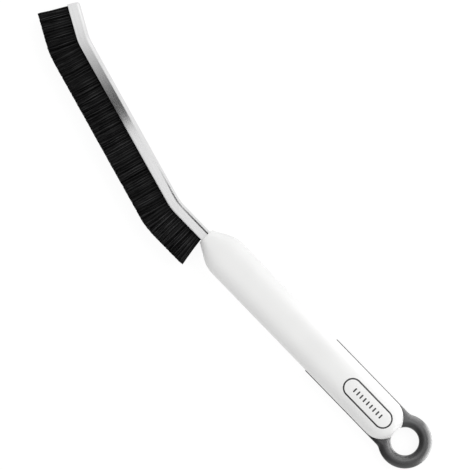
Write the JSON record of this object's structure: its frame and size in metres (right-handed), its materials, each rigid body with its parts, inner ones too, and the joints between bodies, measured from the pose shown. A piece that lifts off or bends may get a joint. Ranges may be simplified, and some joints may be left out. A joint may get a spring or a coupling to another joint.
{
  "type": "crevice brush",
  "caption": "Slim crevice cleaning brush: a bent steel strip of dense black bristles in a white handle with a dark grey back plate and hanging ring.",
  "frame": {"origin": "centre of the hanging hole, at the middle of the ring's thickness", "axes": "+X runs along the handle from the ring towards the brush, +Y is the side that the bristles point to, and +Z is the crowned front of the handle; the brush lies on its flat back"},
  "size_m": [0.2717, 0.0501, 0.013],
  "materials": {
    "white_plastic": "satin moulded plastic",
    "grey_plastic": "glossy moulded plastic",
    "label_ink": "inlaid dark grey line",
    "strip_steel": "satin stainless sheet",
    "pin_steel": "ground steel pin",
    "wire_steel": "drawn steel wire",
    "bristle_nylon": "black nylon filament"
  },
  "bodies": {
    "root": {"front_shell": "white_plastic", "back_shell": "white_plastic", "hanger": "grey_plastic", "label_print": "label_ink", "shank_pins": "pin_steel", "strip_channel": "strip_steel", "core_wire": "wire_steel", "bristles_heel": "bristle_nylon", "bristles_middle": "bristle_nylon", "bristles_tip": "bristle_nylon"}
  },
  "joints": []
}
